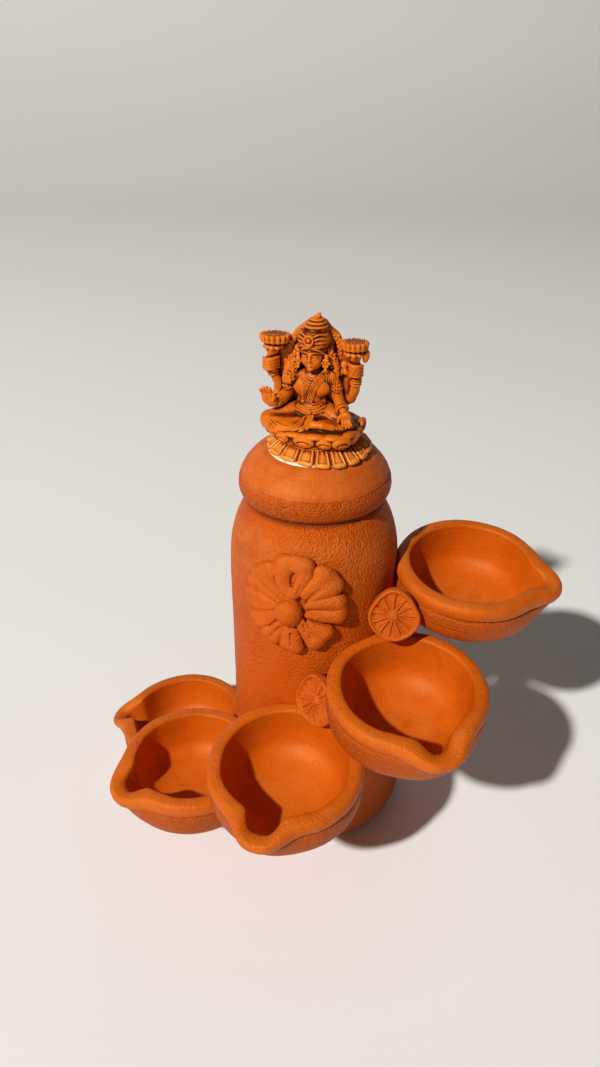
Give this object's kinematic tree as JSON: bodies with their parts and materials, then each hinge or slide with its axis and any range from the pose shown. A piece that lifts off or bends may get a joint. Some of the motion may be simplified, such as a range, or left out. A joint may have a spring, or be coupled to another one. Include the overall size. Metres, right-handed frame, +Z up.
{
  "type": "terracotta diya stand",
  "caption": "Fired-clay oil-lamp tower: a tall jar with pinched lamp bowls stepping down round it, an applied flower and a seated goddess figure on top.",
  "frame": {"origin": "centre of the jar's flat underside, on the jar's axis", "axes": "+Z up the jar's axis, -Y is the front that the flower and the figure face, +X towards the highest lamp bowl"},
  "size_m": [0.2383, 0.1699, 0.2694],
  "materials": {
    "terracotta": "matte sandy",
    "terracotta_slip": "matte rough",
    "figure_clay": "satin",
    "plinth_clay": "satin",
    "glue": "satin"
  },
  "bodies": {
    "root": {"flower_boss": "terracotta", "flower_petal_01": "terracotta", "flower_petal_02": "terracotta", "flower_petal_03": "terracotta", "flower_petal_04": "terracotta", "flower_petal_05": "terracotta", "flower_petal_06": "terracotta", "flower_petal_07": "terracotta", "flower_petal_08": "terracotta", "flower_petal_09": "terracotta", "flower_petal_10": "terracotta", "glue_bead": "glue", "jar_body": "terracotta", "lamp_bowl_1": "terracotta", "lamp_bowl_2": "terracotta", "lamp_bowl_3": "terracotta", "lamp_bowl_4": "terracotta", "lamp_bowl_5": "terracotta", "lotus_plinth": "plinth_clay", "luting_wad_1": "terracotta_slip", "luting_wad_2": "terracotta_slip", "luting_wad_3": "terracotta_slip", "luting_wad_4": "terracotta_slip", "seated_goddess": "figure_clay", "slotted_button_1": "terracotta", "slotted_button_2": "terracotta"}
  },
  "joints": []
}
